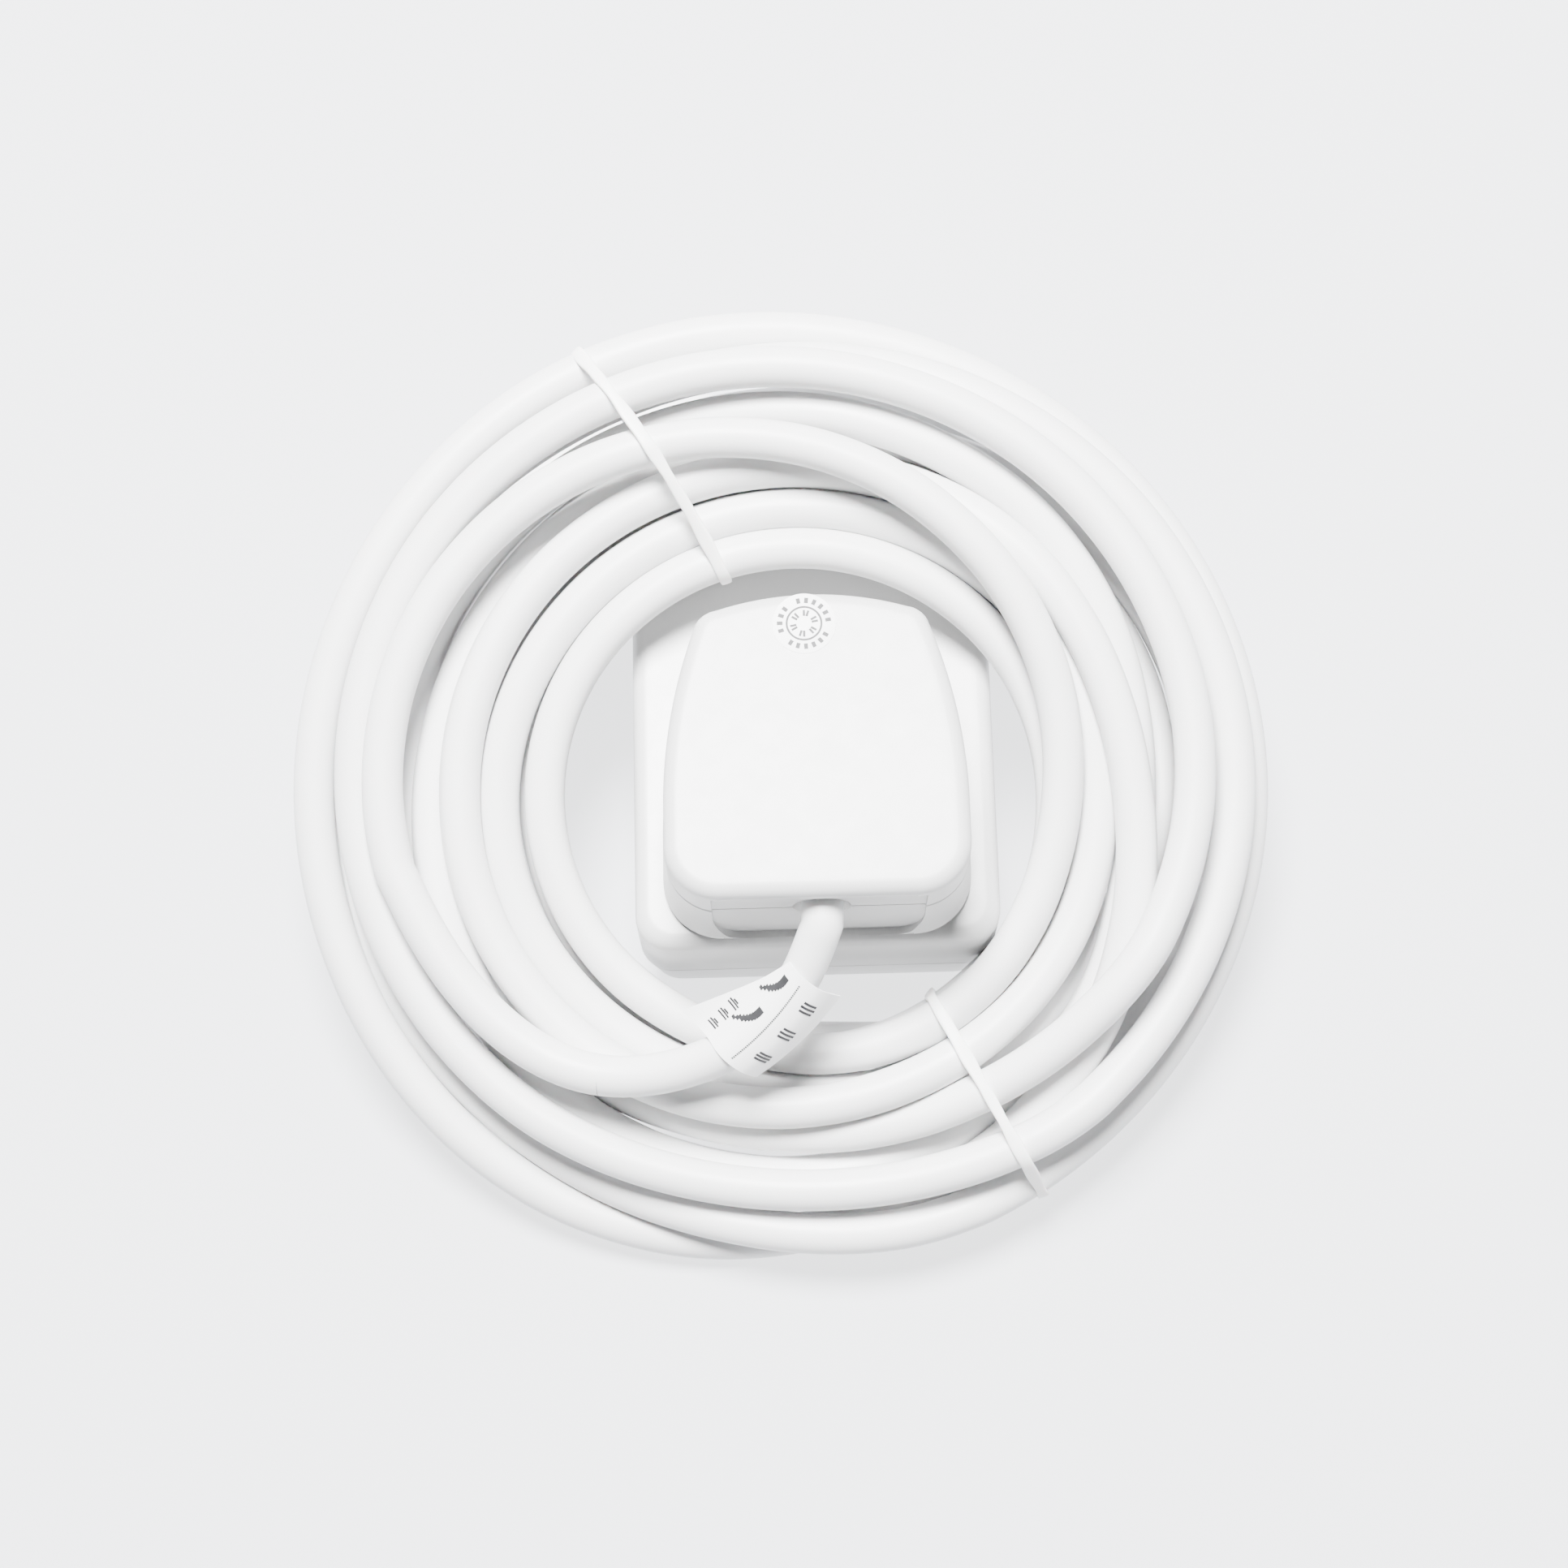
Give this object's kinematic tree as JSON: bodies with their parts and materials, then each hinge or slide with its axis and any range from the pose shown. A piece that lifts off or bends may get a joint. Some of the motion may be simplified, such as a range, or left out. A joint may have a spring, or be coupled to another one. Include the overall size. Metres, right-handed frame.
{
  "type": "extension cord",
  "caption": "Trailing socket on a coiled white flexible cord, with its own three-pin plug pushed into its face and the coil held by elastic bands.",
  "frame": {"origin": "centre of the trailing socket's flat back face, which lies on the table", "axes": "+Z out of the socket's front face, +Y towards the socket's cord entry and the earth pin, +X towards the live pin"},
  "size_m": [0.164, 0.1599, 0.0591],
  "materials": {
    "socket_plastic": "satin moulded",
    "plug_plastic": "satin top, glossy wall",
    "inner_plastic": "matte moulded",
    "sleeve_plastic": "matte",
    "brass": "drawn and stamped",
    "steel": "zinc plated",
    "cord_sheath": "soft sheen",
    "bush_rubber": "matte",
    "wire_cores": "insulated cores",
    "fuse_ceramic": "ceramic with plated caps",
    "sticker": "printed film",
    "label": "printed paper",
    "elastic_band": "translucent elastic"
  },
  "bodies": {
    "socket": {"socket_back_shell": "socket_plastic", "socket_face_shell": "socket_plastic", "socket_housing_screws": "steel", "contact_live": "brass", "contact_neutral": "brass", "contact_earth": "brass", "socket_terminal_screws": "steel", "socket_cord_clamp": "inner_plastic", "socket_clamp_screws": "steel", "cord_bush": "bush_rubber", "socket_wires": "wire_cores", "shutter_spring": "steel", "cord_coil": "cord_sheath", "cord_tail": "cord_sheath", "band_upper": "elastic_band", "band_lower": "elastic_band"},
    "shutter": {"shutter": "inner_plastic"},
    "plug": {"plug_base": "plug_plastic", "plug_cover": "plug_plastic", "pin_live": "brass", "pin_neutral": "brass", "pin_earth": "brass", "pin_sleeves": "sleeve_plastic", "fuse": "fuse_ceramic", "fuse_clips": "brass", "plug_terminal_screws": "steel", "plug_cord_grip": "inner_plastic", "plug_grip_screws": "steel", "plug_cover_screw": "steel", "plug_wires": "wire_cores", "fuse_sticker": "sticker", "cord_lead": "cord_sheath", "flag_label": "label"}
  },
  "joints": [
    {"name": "plug_slide", "type": "slide", "parent": "socket", "child": "plug", "axis": [0, 0, 1], "range_m": [0, 0.045]},
    {"name": "shutter_slide", "type": "slide", "parent": "socket", "child": "shutter", "axis": [0, 1, 0], "range_m": [0, 0.0072]}
  ],
  "couplings": [
    {"joint": "shutter_slide", "follows": "plug_slide", "ratio": 0.16}
  ]
}
